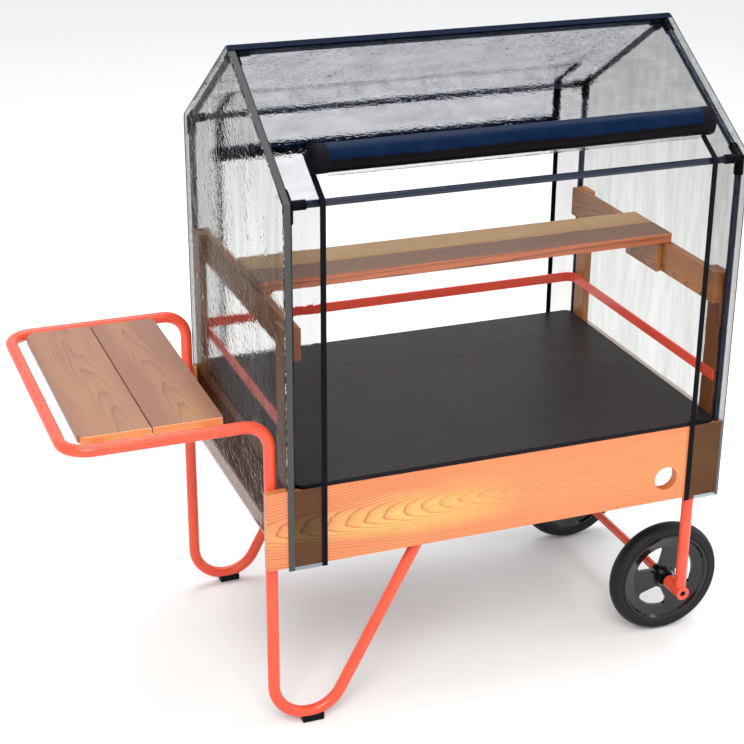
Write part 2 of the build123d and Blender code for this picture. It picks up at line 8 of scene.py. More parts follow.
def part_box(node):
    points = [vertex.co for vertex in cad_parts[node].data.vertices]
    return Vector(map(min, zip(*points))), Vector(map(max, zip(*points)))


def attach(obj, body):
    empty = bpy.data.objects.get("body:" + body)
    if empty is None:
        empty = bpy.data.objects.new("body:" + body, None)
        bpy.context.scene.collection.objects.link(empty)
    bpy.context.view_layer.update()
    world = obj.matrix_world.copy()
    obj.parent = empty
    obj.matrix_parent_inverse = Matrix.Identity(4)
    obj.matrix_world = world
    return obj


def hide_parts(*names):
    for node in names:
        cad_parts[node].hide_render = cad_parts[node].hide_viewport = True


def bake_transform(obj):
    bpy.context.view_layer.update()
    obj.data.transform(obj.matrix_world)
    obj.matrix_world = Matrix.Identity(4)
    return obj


# The looks of a push vending cart.  Metres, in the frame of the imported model: x from the push handle to
# the wheels, y from the front (the side whose flap is rolled up) to the back, z up from the floor.

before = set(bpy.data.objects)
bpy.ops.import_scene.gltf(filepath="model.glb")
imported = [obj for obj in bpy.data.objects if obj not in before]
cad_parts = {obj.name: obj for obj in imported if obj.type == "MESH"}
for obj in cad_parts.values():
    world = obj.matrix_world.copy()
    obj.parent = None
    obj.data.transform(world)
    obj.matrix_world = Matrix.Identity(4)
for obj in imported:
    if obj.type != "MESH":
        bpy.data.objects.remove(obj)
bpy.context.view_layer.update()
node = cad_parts

# ---- places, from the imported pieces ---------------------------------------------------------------
MID_X = (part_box("film_gable_left")[0].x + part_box("film_gable_right")[1].x) / 2
MID_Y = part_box("film_roof_front")[1].y
FILM_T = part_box("film_gable_right")[1].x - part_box("film_gable_right")[0].x
FILM_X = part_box("film_gable_right")[1].x - FILM_T / 2 - MID_X  # middle of each gable's film
FILM_Y = MID_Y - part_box("film_strips_front")[0].y - FILM_T / 2  # middle of the front and back film
HEM_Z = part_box("film_gable_left")[0].z
BOARD_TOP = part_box("side_board_front")[1].z
BOARD_IN_Y = MID_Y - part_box("side_board_front")[1].y
RIDGE_Z = 1.5405  # folds of the film's middle, over the ridge tube and outside the eave tubes
EAVE_Z = 1.2923
OPENING_X = 0.467  # middle of the opening's side bindings
OPENING_HEAD = 0.120  # up the slope from the eave fold
ROLL_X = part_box("flap_roll_front")[1].x - MID_X


# ---- material helpers -----------------------------------------------------------------------------
class Graph:
    """One material's node tree.  Most calls add nodes and return an output socket."""

    def __init__(self, name):
        self.material = bpy.data.materials.new(name)
        self.material.use_nodes = True
        self.tree = self.material.node_tree
        self.bsdf = self.tree.nodes["Principled BSDF"]
        self.output = self.tree.nodes["Material Output"]

    def put(self, socket, value):
        if isinstance(value, bpy.types.NodeSocket):
            self.tree.links.new(value, socket)
        else:
            socket.default_value = value

    def node(self, kind, inputs=(), out=0, **settings):
        made = self.tree.nodes.new(kind)
        for name, value in settings.items():
            setattr(made, name, value)
        for name, value in dict(inputs).items():
            self.put(made.inputs[name], value)
        return made.outputs[out]

    def shader(self, **inputs):
        for name, value in inputs.items():
            self.put(self.bsdf.inputs[name.replace("_", " ")], value)

    def place(self):
        coords = self.node("ShaderNodeTexCoord", out="Object")
        return self.node("ShaderNodeMapping", {"Vector": coords})

    def noise(self, where, scale, detail=3.0, rough=0.5, out="Fac"):
        inputs = {"Vector": where, "Scale": scale, "Detail": detail, "Roughness": rough}
        return self.node("ShaderNodeTexNoise", inputs, out)

    def stretched(self, where, scale):
        return self.node("ShaderNodeMapping", {"Vector": where, "Scale": scale})

    def parts(self, vector):
        """The x, y and z of a vector, as the outputs of one node."""
        made = self.tree.nodes.new("ShaderNodeSeparateXYZ")
        self.put(made.inputs[0], vector)
        return made.outputs

    def facing(self):
        """The parts of the way a face looks."""
        return self.parts(self.node("ShaderNodeNewGeometry", out="Normal"))

    def math(self, operation, a, b=0.0):
        return self.node("ShaderNodeMath", {0: a, 1: b}, operation=operation)

    def spread(self, value, low, high, to_low=0.0, to_high=1.0):
        return self.node("ShaderNodeMapRange", {"Value": value, "From Min": low, "From Max": high,
                                                "To Min": to_low, "To Max": to_high})

    def mix(self, share, a, b):
        made = self.tree.nodes.new("ShaderNodeMix")
        made.data_type = "RGBA"
        self.put(made.inputs["Factor"], share)
        self.put(made.inputs["A"], colour(a))
        self.put(made.inputs["B"], colour(b))
        return made.outputs["Result"]

    def ramp(self, value, *stops):
        made = self.tree.nodes.new("ShaderNodeValToRGB")
        self.put(made.inputs["Fac"], value)
        elements = made.color_ramp.elements
        while len(elements) < len(stops):
            elements.new(1.0)
        for element, (place, shade) in zip(elements, stops):
            element.position = place
            element.color = colour(shade)
        return made.outputs["Color"]

    def bump(self, height, depth):
        return self.node("ShaderNodeBump", {"Height": height, "Distance": depth, "Strength": 1.0}, "Normal")


def colour(value):
    """A socket as it is, or an sRGB colour of 0-255 numbers as the linear one that a socket takes."""
    if isinstance(value, bpy.types.NodeSocket):
        return value
    linear = [c / 255 / 12.92 if c / 255 <= 0.04045 else ((c / 255 + 0.055) / 1.055) ** 2.4 for c in value]
    return (*linear, 1.0)


def paint(material, *names):
    """Gives CAD nodes one material."""
    for name in names:
        slots = node[name].data.materials
        slots.clear()
        slots.append(material)


WOOD_GLOSS = 0.42  # roughness of oiled timber
TURN_TO_GRAIN = {"x": (0, 0, 0), "y": (0, 0, -math.pi / 2), "z": (0, math.pi / 2, 0)}


def wood(name, grain, heart, lean, gap, core, outer, line, line_share=0.85, wander=0.005,
         spread=(0.02, 0.085), front=None, calm=None):
    """Flat-sawn timber with its grain along x, y or z.

    The growth rings are cones round a leaning heart line, so they make pointed arches on a wide face.
    heart is a point on that line, lean its sideways run per metre, gap the rings' spacing.  core is the
    colour near the heart line and outer the colour further out, over the distances in spread.  front is a
    warmer colour painted on the faces that look to the front: painted sunlight, standing in for the sun that
    lights those faces.  calm is a stretch along the grain, from the heart point, over which the arches die
    down to straight, even timber."""
    g = Graph(name)
    place = g.node("ShaderNodeTexCoord", out="Object")
    start = g.node("ShaderNodeVectorMath", {0: place, 1: heart}, operation="SUBTRACT")
    along = g.node("ShaderNodeMapping", {"Vector": start, "Rotation": TURN_TO_GRAIN[grain]})
    sway = g.noise(g.stretched(along, (2.6, 11, 11)), 1.0, 2.5, 0.45, "Color")
    swayed = g.node("ShaderNodeVectorMath", {0: sway, 1: (0.5, 0.5, 0.5)}, operation="SUBTRACT")
    swayed = g.node("ShaderNodeVectorMath", {0: swayed, "Scale": wander * 4}, operation="SCALE")
    moved = g.node("ShaderNodeVectorMath", {0: along, 1: swayed}, operation="ADD")
    spot = g.parts(moved)
    side = g.math("SUBTRACT", spot["Y"], g.math("MULTIPLY", spot["X"], lean[0]))
    rise = g.math("SUBTRACT", spot["Z"], g.math("MULTIPLY", spot["X"], lean[1]))
    radius = g.math("SQRT", g.math("ADD", g.math("MULTIPLY", side, side), g.math("MULTIPLY", rise, rise)))
    uneven = g.noise(g.stretched(along, (0.5, 26, 26)), 1.0, 2.0)
    ring = g.math("FRACT", g.math("ADD", g.math("DIVIDE", radius, gap), g.math("MULTIPLY", uneven, 2.2)))
    late = g.ramp(ring, (0.0, (0, 0, 0)), (0.50, (60, 60, 60)), (0.78, (160, 160, 160)),
                  (0.90, (255, 255, 255)), (1.0, (0, 0, 0)))
    fibre = g.noise(g.stretched(along, (9, 620, 620)), 1.0, 3.0, 0.6)
    pores = g.noise(g.stretched(along, (22, 1500, 1500)), 1.0, 1.0)
    patch = g.noise(g.stretched(along, (1.7, 14, 14)), 1.0, 3.0)
    depth = g.math("ADD", g.spread(radius, spread[0], spread[1]), g.spread(patch, 0.3, 0.7, -0.35, 0.35))
    base = g.mix(g.math("MAXIMUM", g.math("MINIMUM", depth, 1.0), 0.0), core, outer)
    if calm:
        straight = g.spread(g.parts(along)["X"], calm[0], calm[1])
        base = g.mix(g.math("MULTIPLY", straight, 0.9), base, outer)
        late = g.math("MULTIPLY", late, g.spread(straight, 0.0, 1.0, 1.0, 0.3))
    # painted sunlight: faces that look to the front take the warmer front colour
    if front:
        base = g.mix(g.spread(g.facing()["Y"], -0.6, -0.5, 1.0, 0.0), base, front)
    base = g.mix(g.math("MULTIPLY", late, line_share), base, line)
    base = g.mix(g.spread(fibre, 0.35, 0.75, 0.0, 0.28), base, line)
    base = g.mix(g.spread(pores, 0.60, 0.72, 0.0, 0.30), base, line)
    g.shader(Base_Color=base, Roughness=g.spread(fibre, 0.2, 0.8, WOOD_GLOSS - 0.06, WOOD_GLOSS + 0.12))
    g.shader(Coat_Weight=0.18, Coat_Roughness=0.28)
    height = g.math("ADD", g.math("MULTIPLY", late, 0.5), g.math("MULTIPLY", fibre, 0.7))
    g.shader(Normal=g.bump(height, 0.00022))
    return g.material


def painted(name, tone, deep, rough=0.3, coat=0.25, gleam=0.4):
    """Powder coat with a faint orange peel and slight dulling here and there."""
    g = Graph(name)
    where = g.place()
    cloud = g.noise(where, 7.0, 4.0, 0.6)
    speck = g.noise(where, 420.0, 2.0)
    g.shader(Base_Color=g.mix(g.spread(cloud, 0.35, 0.75), tone, deep))
    g.shader(Roughness=g.spread(cloud, 0.3, 0.7, rough, rough + 0.14), Coat_Weight=coat, Coat_Roughness=0.12)
    g.shader(Specular_IOR_Level=gleam)
    g.shader(Normal=g.bump(speck, 0.00006))
    return g.material


def moulded(name, tone, rough, grain=700.0, depth=0.00008, coat=0.0, gleam=0.2, side=None, turn=(0.75, 0.85)):
    """Plastic or rubber with a fine moulded grain and a few dull patches.

    side is the tone of the faces that look sideways or down, and turn the rise between the two tones."""
    g = Graph(name)
    where = g.place()
    cloud = g.noise(where, 18.0, 4.0, 0.6)
    pebble = g.noise(where, grain, 2.0)
    dusty = tuple(min(255, c + 8) for c in tone)
    face = g.mix(g.spread(cloud, 0.45, 0.75, 0.0, 0.8), tone, dusty)
    if side:
        upward = g.math("ADD", g.facing()["Z"], g.spread(cloud, 0.0, 1.0, -0.12, 0.12))
        face = g.mix(g.spread(upward, turn[0], turn[1]), side, face)
    g.shader(Base_Color=face, Specular_IOR_Level=gleam)
    g.shader(Roughness=g.spread(cloud, 0.3, 0.7, rough, rough + 0.12), Coat_Weight=coat, Coat_Roughness=0.08)
    g.shader(Normal=g.bump(pebble, depth))
    return g.material


def woven(name, tone, light):
    """Narrow woven tape: a fine crossed rib with lighter crowns."""
    g = Graph(name)
    where = g.place()
    weave = {"Vector": where, "Distortion": 0.4, "Detail": 1.0}
    ribs = g.node("ShaderNodeTexWave", {**weave, "Scale": 260.0}, "Fac", bands_direction="DIAGONAL")
    cross = g.node("ShaderNodeTexWave", {**weave, "Scale": 330.0}, "Fac", bands_direction="Z")
    crown = g.math("MULTIPLY", ribs, cross)
    fuzz = g.noise(where, 900.0, 2.0)
    worn = g.math("ADD", crown, g.math("MULTIPLY", fuzz, 0.4))
    g.shader(Base_Color=g.mix(g.spread(worn, 0.2, 1.2, 0.0, 0.7), tone, light))
    g.shader(Roughness=0.75, Specular_IOR_Level=0.12, Normal=g.bump(crown, 0.0003))
    return g.material


def clear_film(name, streak, ripple, tint, deep, painted_board_shade, shade):
    """Thin clear sheet.  streak scales its cloudy marks, so that they run along the way the sheet hangs, and
    ripple scales its fine waves, which bend what is seen through it.

    tint and deep are its colours in the open.  Below the boards' tops, where it lies close against them, it
    takes a darker colour instead: painted shade, for the light that the sheet keeps off the boards behind it.
    shade is the light that it lets through."""
    g = Graph(name)
    plain = g.place()
    where = g.stretched(plain, streak)
    waves = g.stretched(plain, ripple)
    height = g.math("ADD", g.math("MULTIPLY", g.noise(waves, 13.0, 1.0, 0.5), 8.0),
                    g.math("MULTIPLY", g.noise(waves, 95.0, 1.6, 0.55), 3.4))
    mottle = g.noise(where, 26.0, 5.0, 0.65)
    # painted shade: below the boards' tops the sheet takes its darker colour, for the light it keeps off the
    # boards
    board_shade_mask = g.spread(g.parts(plain)["Z"], BOARD_TOP - 0.001, BOARD_TOP + 0.003)
    open_tint = g.mix(g.spread(mottle, 0.35, 0.7), tint, deep)
    g.shader(Base_Color=g.mix(board_shade_mask, painted_board_shade, open_tint), Roughness=0.0, IOR=1.025,
             Transmission_Weight=1.0)
    g.shader(Normal=g.bump(height, 0.0013))
    through = g.node("ShaderNodeBsdfTransparent", {"Color": colour(shade)})
    shaded = g.node("ShaderNodeLightPath", out="Is Shadow Ray")
    g.put(g.output.inputs["Surface"],
          g.node("ShaderNodeMixShader", {0: shaded, 1: g.bsdf.outputs[0], 2: through}))
    return g.material


# ---- materials ------------------------------------------------------------------------------------
def near(*part):
    """A point given from the cover's middle, as a point of the frame."""
    return (MID_X + part[0], MID_Y + part[1], part[2])


# colours of timber near the heart line, further out, and in the rings' dark lines
ORANGE = ((236, 188, 98), (212, 124, 74), (124, 58, 28))
BROWN = ((178, 114, 56), (138, 84, 42), (76, 40, 18))

board_front = wood("wood_board_front", "x", near(-0.6, -0.310, 0.535), (-0.095, 0.012), 0.0046, *ORANGE,
                   line_share=0.75, wander=0.0028, spread=(0.03, 0.085), calm=(0.3, 0.62))
board_back = wood("wood_board_back", "x", near(-0.6, 0.318, 0.540), (0.050, -0.01), 0.0046, *ORANGE)
board_left = wood("wood_board_left", "y", near(-0.48, 0.2, 0.53), (0.05, 0.01), 0.0050, *BROWN)
board_right = wood("wood_board_right", "y", near(0.46, -0.2, 0.54), (0.05, 0.01), 0.0050, *BROWN)
post_wood = wood("wood_posts", "z", near(0.5, 0.27, 0.2), (0.03, 0.02), 0.0050, *BROWN, spread=(0.02, 0.3))
rail_left_wood = wood("wood_rail_left", "y", near(-0.46, 0.1, 0.95), (0.08, 0.03), 0.0050, *BROWN)
rail_right_wood = wood("wood_rail_right", "y", near(0.46, 0.1, 0.95), (0.08, 0.03), 0.0050, *BROWN)
tan_wood = wood("wood_shelf_back", "x", near(0.0, 0.5, 0.9), (0.01, 0.0), 0.0070,
                (170, 136, 84), (152, 114, 68), (104, 72, 42), line_share=1.0, spread=(0.3, 0.6))
# front shelf plank: its dark mauve tone is partly painted shade from the roof and rolled flap above it, and
# its front faces get painted sunlight
mauve_wood = wood("wood_shelf_front", "x", near(0.0, -0.4, 0.86), (0.012, 0.0), 0.0075,
                  (114, 74, 44), (98, 60, 38), (74, 42, 28), spread=(0.2, 0.5), front=(176, 98, 62))
# tray planks: the warmer colour on their front-facing faces is painted sunlight
tray_left_wood = wood("wood_tray_left", "y", near(-0.905, 0.3, 0.72), (0.03, -0.035), 0.0046,
                      (178, 132, 88), (142, 94, 66), (98, 58, 38), line_share=0.6, front=(226, 152, 92))
tray_right_wood = wood("wood_tray_right", "y", near(-0.745, -0.3, 0.75), (0.02, -0.03), 0.0046,
                       (174, 126, 84), (138, 90, 64), (96, 56, 36), line_share=0.6, front=(226, 152, 92))

coral = painted("paint_coral", (224, 78, 48), (210, 66, 42))
red = painted("paint_red", (240, 88, 66), (226, 76, 58))
navy_tube = painted("paint_navy", (2, 18, 44), (2, 12, 30), rough=0.22, coat=0.0, gleam=0.5)
black_plastic = moulded("plastic_black", (6, 8, 14), 0.42, gleam=0.1)
nylon = moulded("plastic_nylon", (190, 188, 180), 0.5)
rubber = moulded("rubber_tyre", (22, 22, 23), 0.46, grain=520.0, depth=0.00012)
gloss_black = moulded("plastic_gloss", (6, 6, 7), 0.14, grain=24.0, depth=0.0014, coat=0.6)
blackened = painted("steel_blackened", (12, 11, 11), (8, 7, 7), rough=0.4, coat=0.0, gleam=0.3)
plated = painted("steel_plated", (150, 150, 152), (120, 120, 124), rough=0.28)
plated.node_tree.nodes["Principled BSDF"].inputs["Metallic"].default_value = 1.0
navy_tape = woven("tape_navy", (1, 1, 9), (8, 8, 20))
ridge_navy = woven("tape_ridge", (0, 9, 32), (1, 20, 54))
grey_tape = woven("tape_grey", (66, 68, 68), (88, 90, 90))
deck_black = moulded("laminate_dark", (36, 33, 33), 0.36, grain=900.0, depth=0.00003, gleam=0.14,
                     side=(6, 6, 14))
# rolled film: the navy on upward faces is a painted blue sky reflection, and the near-black on sideways and
# downward faces is painted shade
dark_film = moulded("film_rolled", (0, 19, 46), 0.34, grain=60.0, depth=0.0004, gleam=0.06, side=(6, 3, 5),
                    turn=(0.02, 0.22))
welt_grey = moulded("welt_grey", (70, 72, 76), 0.35)

# each film's fifth colour is painted shade, used where the film lies against the boards below their tops
film_hung = clear_film("film_hung", (1, 1, 0.2), (1, 1, 0.6), (224, 222, 222), (212, 210, 210),
                       (163, 176, 182), (190, 190, 190))
film_gable = clear_film("film_gable", (1, 1, 0.16), (1, 0.45, 0.8), (219, 219, 216), (196, 196, 192),
                        (158, 146, 138), (150, 150, 150))
film_roof = clear_film("film_roof", (0.5, 1, 1), (0.8, 1, 1), (230, 230, 232), (206, 207, 210),
                       (230, 230, 232), (166, 167, 170))

paint(board_front, "side_board_front")
paint(board_back, "side_board_back")
paint(board_left, "end_board_left")
paint(board_right, "end_board_right")
paint(post_wood, "corner_post_front_left", "corner_post_front_right", "corner_post_back_left",
      "corner_post_back_right")
paint(rail_left_wood, "end_rail_left", "shelf_cleat_left")
paint(rail_right_wood, "end_rail_right", "shelf_cleat_right", "deck_battens")
paint(tan_wood, "shelf_plank_back")
paint(mauve_wood, "shelf_plank_front")
paint(tray_left_wood, "tray_plank_left")
paint(tray_right_wood, "tray_plank_right")
paint(coral, "side_frame_front", "side_frame_back", "push_loop", "loop_spigots", "axle_cross_tube",
      "tray_bearers")
paint(red, "guard_bar")
paint(deck_black, "deck_panel")
paint(navy_tube, "cover_posts_front", "cover_posts_back", "eave_tube_front", "eave_tube_back",
      "rafters_front", "rafters_back", "ridge_tube")
paint(black_plastic, "eave_corners", "ridge_corners", "foot_pad_front", "foot_pad_back")
paint(navy_tape, "opening_bindings_front", "opening_bindings_back")
paint(ridge_navy, "ridge_tape")
paint(grey_tape, "seam_tape_left")
paint(rubber, "tyre_front", "tyre_back")
paint(gloss_black, "wheel_centre_front", "wheel_centre_back")
paint(nylon, "wheel_bushes_front", "wheel_bushes_back")
paint(plated, "axle_rod", "axle_washers", "chassis_bolts")
paint(blackened, "axle_end_screws")


# ---- mesh helpers ---------------------------------------------------------------------------------
def make(name, points, faces, *materials):
    mesh = bpy.data.meshes.new(name)
    mesh.from_pydata(points, [], faces)
    mesh.update()
    piece = bpy.data.objects.new(name, mesh)
    bpy.context.scene.collection.objects.link(piece)
    for material in materials:
        mesh.materials.append(material)
    mesh.shade_smooth()
    return piece


def apply_modifiers(piece):
    graph = bpy.context.evaluated_depsgraph_get()
    made = bpy.data.meshes.new_from_object(piece.evaluated_get(graph))
    piece.modifiers.clear()
    piece.data = made


def thicken(piece, thickness):
    solid = piece.modifiers.new("thickness", "SOLIDIFY")
    solid.thickness = thickness
    solid.offset = 0.0
    apply_modifiers(piece)


def smooth_step(value, low, high):
    share = max(0.0, min(1.0, (value - low) / (high - low)))
    return share * share * (3 - 2 * share)


def sheet_grid(name, place, us, vs, keep, material, slot_of=None, materials=()):
    """A sheet over the grid us by vs.  place(u, v) gives a point, keep(u, v) tells which cells are there."""
    index, points, faces, slots = {}, [], [], []

    def corner(i, j):
        if (i, j) not in index:
            index[i, j] = len(points)
            points.append(place(us[i], vs[j]))
        return index[i, j]

    for i in range(len(us) - 1):
        for j in range(len(vs) - 1):
            middle = ((us[i] + us[i + 1]) / 2, (vs[j] + vs[j + 1]) / 2)
            if keep(*middle):
                faces.append((corner(i, j), corner(i + 1, j), corner(i + 1, j + 1), corner(i, j + 1)))
                slots.append(slot_of(*middle) if slot_of else 0)
    piece = make(name, points, faces, material, *materials)
    piece.data.polygons.foreach_set("material_index", slots)
    return piece


def steps(*stops, size):
    """Values through the stops, each stretch cut into equal parts of about the given size."""
    values = [stops[0]]
    for low, high in zip(stops, stops[1:]):
        count = max(1, round((high - low) / size))
        values += [low + (high - low) * k / count for k in range(1, count + 1)]
    return values


# ---- clear cover ----------------------------------------------------------------------------------
SLOPE = math.hypot(FILM_Y, RIDGE_Z - EAVE_Z)
SLOPE_DIR = Vector((0, -FILM_Y, EAVE_Z - RIDGE_Z)) / SLOPE
SLOPE_OUT = Vector((0, SLOPE_DIR.z, -SLOPE_DIR.y))
BEND_R = 0.016  # of the film's bend round the eave tube
SHEET_T = FILM_T * 0.8  # thickness of the cover's and the flaps' sheets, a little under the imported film's
BINDING_HALF = 0.0065  # half the width of the opening's bindings
RIDGE_GAP = 0.0006  # between each half's edge and the ridge line
BEND_HALF = 0.012  # sheets have cell edges this far each way from the eave fold, just past its bend
CELL = 0.012  # about the size of a cover sheet's cells


def cover_point(x, s, lift=0.0):
    """Front half of the cover's surface: s metres down from the ridge, over the eave and down to the hem.

    lift is outward.  The bend at the eave is a short round one."""
    turn = math.acos(-SLOPE_DIR.z)
    half = BEND_R * math.tan(turn / 2)
    if s <= SLOPE - half:
        y, z = s * SLOPE_DIR.y, RIDGE_Z + s * SLOPE_DIR.z
        out = SLOPE_OUT
    elif s >= SLOPE + half:
        y, z = -FILM_Y, EAVE_Z - (s - SLOPE)
        out = Vector((0, -1, 0))
    else:
        share = (s - SLOPE + half) / (2 * half)
        angle = math.atan2(SLOPE_OUT.z, -SLOPE_OUT.y) * (1 - share)
        out = Vector((0, -math.cos(angle), math.sin(angle)))
        middle = Vector((0, -FILM_Y + BEND_R, EAVE_Z - half))
        y, z = (middle + out * BEND_R)[1:]
    return Vector((MID_X + x, MID_Y + y + out.y * lift, z + out.z * lift))


def cover_wave(x, s):
    """How far the film stands out from its flat line: none at tapes and tubes, more in the free middles."""
    off_binding = smooth_step(abs(abs(x) - OPENING_X), 0.008, 0.03)
    off_edge = smooth_step(FILM_X - abs(x), 0.004, 0.04)
    off_ridge = smooth_step(s, 0.02, 0.09)
    off_eave = smooth_step(abs(s - SLOPE), 0.01, 0.08)
    if s > SLOPE:
        wave = noise.noise(Vector((x * 7.0, s * 2.0, 4.0)))
        height = 0.0018 * (0.5 + 0.5 * wave)
    else:
        wave = noise.noise(Vector((x * 3.0, s * 9.0, 9.0)))
        height = 0.0012 * wave - 0.0016 * smooth_step(s, 0.05, 0.22)
    return height * off_binding * off_edge * off_ridge * off_eave


def on_side(point, mirrored):
    """A point of the front half as it is, or as the point of the back half that faces it."""
    return Vector((point.x, 2 * MID_Y - point.y, point.z)) if mirrored else point


def cover_half(name, nodes, mirrored):
    head = SLOPE - OPENING_HEAD
    side = FILM_X + FILM_T / 2
    bound = OPENING_X + BINDING_HALF
    us = steps(-side, -bound, -OPENING_X, OPENING_X, bound, side, size=CELL)
    vs = steps(RIDGE_GAP, head, SLOPE - BEND_HALF, SLOPE + BEND_HALF, SLOPE + EAVE_Z - HEM_Z, size=CELL)

    def place(x, s):
        return on_side(cover_point(x, s, cover_wave(x, s)), mirrored)

    def hung(x, s):
        return int(s >= SLOPE)

    def keep(x, s):
        return s < head or abs(x) > OPENING_X

    piece = sheet_grid(name, place, us, vs, keep, film_roof, hung, [film_hung])
    thicken(piece, SHEET_T)
    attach(piece, "cart")
    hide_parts(*nodes)


cover_half("cover_film_front", ["film_roof_front", "film_strips_front"], False)
cover_half("cover_film_back", ["film_roof_back", "film_strips_back"], True)


def gable_top(y):
    return RIDGE_Z - 0.001 - abs(y) * (RIDGE_Z - EAVE_Z) / FILM_Y


def gable(name, replaced, way, notched):
    """One gable's film: hem to roof, cut round the long boards' ends where they run past it."""
    edge_y = FILM_Y - FILM_T / 2 - 0.0002
    slot_y = BOARD_IN_Y - 0.001
    slot_z = BOARD_TOP + 0.001
    low_part = (slot_z - HEM_Z) / (EAVE_Z - HEM_Z)
    us = steps(-edge_y, -slot_y, slot_y, edge_y, size=0.0125)
    vs = steps(0.0, low_part, 1.0, size=CELL)

    def place(y, v):
        top = gable_top(y)
        if v <= low_part:
            z = HEM_Z + (slot_z - HEM_Z) * v / low_part
        else:
            z = slot_z + (top - slot_z) * (v - low_part) / (1 - low_part)
        free = smooth_step(edge_y - abs(y), 0.02, 0.10) * smooth_step(top - z, 0.02, 0.10)
        free *= smooth_step(z - HEM_Z, 0.0, 0.25)
        wave = 0.0022 + 0.0022 * noise.noise(Vector((y * 8.0, z * 1.6, way * 3.0)))
        wave += 0.0008 * noise.noise(Vector((y * 24, z * 4, 7.0)))
        return Vector((MID_X + way * (FILM_X + free * wave), MID_Y + y, z))

    def keep(y, v):
        return not notched or abs(y) < slot_y or v > low_part

    piece = sheet_grid(name, place, us, vs, keep, film_gable)
    thicken(piece, SHEET_T)
    area = 2 * edge_y * (EAVE_Z - HEM_Z) + edge_y * (RIDGE_Z - EAVE_Z)
    if notched:
        area -= 2 * (edge_y - slot_y) * (slot_z - HEM_Z)
    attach(piece, "cart")
    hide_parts(replaced)


gable("cover_gable_left", "film_gable_left", -1, True)
gable("cover_gable_right", "film_gable_right", 1, False)


# ---- rolled flaps ---------------------------------------------------------------------------------
BAND_SLOT = 1  # material slot of a roll's end bands and coiled ends


def roll(name, centre, radius, half, replaced, body, lap_angle, layers):
    """A rolled sheet: a spiral skin with a lapped edge, coiled ends and bound end bands."""
    around, band = 72, 0.030  # points round the roll, and length of each bound end
    xs = steps(-half, -half + band, half - band, half, size=0.02)
    lap = radius * 0.05
    points, faces, slots = [], [], []

    def skin(x, k):
        share = k / around
        angle = lap_angle + share * 2 * math.pi
        spot = Vector((x * 9.0, math.cos(angle) * 1.3, math.sin(angle) * 1.3 + 5.0))
        slack = radius * 0.018 * noise.noise(spot)
        reach = radius * 0.975 - lap * (1 - share) + min(slack, radius * 0.02)
        bound = abs(x) > half - band * 0.999
        return reach + (radius * 0.012 if bound else 0.0), angle

    for x in xs:
        for k in range(around + 1):
            reach, angle = skin(x, k)
            points.append(centre + Vector((x, reach * math.cos(angle), reach * math.sin(angle))))
    row = around + 1
    for i in range(len(xs) - 1):
        for k in range(around):
            faces.append((i * row + k, i * row + k + 1, (i + 1) * row + k + 1, (i + 1) * row + k))
            slots.append(BAND_SLOT if abs((xs[i] + xs[i + 1]) / 2) > half - band else 0)
        faces.append((i * row + around, i * row, (i + 1) * row, (i + 1) * row + around))
        slots.append(0)
    rings = layers * 6
    for end, first in ((-1, 0), (1, (len(xs) - 1) * row)):
        last = [first + k for k in range(around + 1)]
        for ring in range(1, rings + 1):
            share = 1 - ring / rings
            now = []
            for k in range(around + 1):
                reach, angle = skin(end * half, k)
                coil = ring / 6 + k / around
                dip = -0.0016 * (0.5 - 0.5 * math.cos(2 * math.pi * coil)) - 0.004 * (1 - share) ** 2
                spoke = share * reach
                now.append(len(points))
                tip = Vector((end * (half + dip), spoke * math.cos(angle), spoke * math.sin(angle)))
                points.append(centre + tip)
            for k in range(around):
                faces.append((last[k], last[k + 1], now[k + 1], now[k])[:: -end])
                slots.append(BAND_SLOT)
            faces.append((last[around], last[0], now[0], now[around])[:: -end])
            slots.append(BAND_SLOT)
            last = now
    piece = make(name, points, faces, dark_film, navy_tape)
    piece.data.polygons.foreach_set("material_index", slots)
    tool = bmesh.new()
    tool.from_mesh(piece.data)
    bmesh.ops.remove_doubles(tool, verts=tool.verts, dist=1e-6)
    bmesh.ops.recalc_face_normals(tool, faces=tool.faces)
    tool.to_mesh(piece.data)
    tool.free()
    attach(piece, body)
    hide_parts(replaced)


def flap_sheet(name, top, foot, mirrored, body, over, *replaced):
    """The part of a flap that shows between its seam and its roll, with a dark binding down each side."""
    edge = 0.022
    us = steps(-ROLL_X, -ROLL_X + edge, ROLL_X - edge, ROLL_X, size=0.02)
    if foot > SLOPE:
        vs = steps(top, SLOPE - BEND_HALF, SLOPE + BEND_HALF, foot, size=0.004)
    else:
        vs = steps(top, foot, size=0.008)

    def place(x, s):
        free = smooth_step(s, SLOPE + 0.02, SLOPE + 0.08)
        wave = 0.0012 * noise.noise(Vector((x * 6.0, s * 5.0, 2.0))) * free
        return on_side(cover_point(x, s, over + abs(wave)), mirrored)

    def band(x, s):
        return int(abs(x) > ROLL_X - edge)

    piece = sheet_grid(name, place, us, vs, lambda x, s: True, film_roof, band, [navy_tape])
    thicken(piece, SHEET_T)
    if body == "cart":
        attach(piece, "cart")
    else:
        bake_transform(piece)
    if replaced:
        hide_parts(*replaced)


def roll_lip(centre, radius):
    """The clear free edge that stands out under the front roll."""
    below, lean = 0.9, 0.75  # radians: how far round under the roll it starts, and its lean off the upright
    reach = 0.011
    point = centre + Vector((0, -math.cos(below), -math.sin(below))) * radius
    way = Vector((0, math.sin(lean), -math.cos(lean)))

    def place(x, v):
        sway = 0.0012 * noise.noise(Vector((x * 10.0, 0.0, 8.0)))
        return Vector((MID_X + x, point.y, point.z)) + way * (v + sway * v / reach)

    us = steps(-ROLL_X + 0.03, ROLL_X - 0.03, size=0.02)
    vs = steps(-0.002, reach, size=0.004)
    piece = sheet_grid("front_flap_lip", place, us, vs, lambda x, v: True, film_roof)
    thicken(piece, FILM_T)
    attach(piece, "cart")


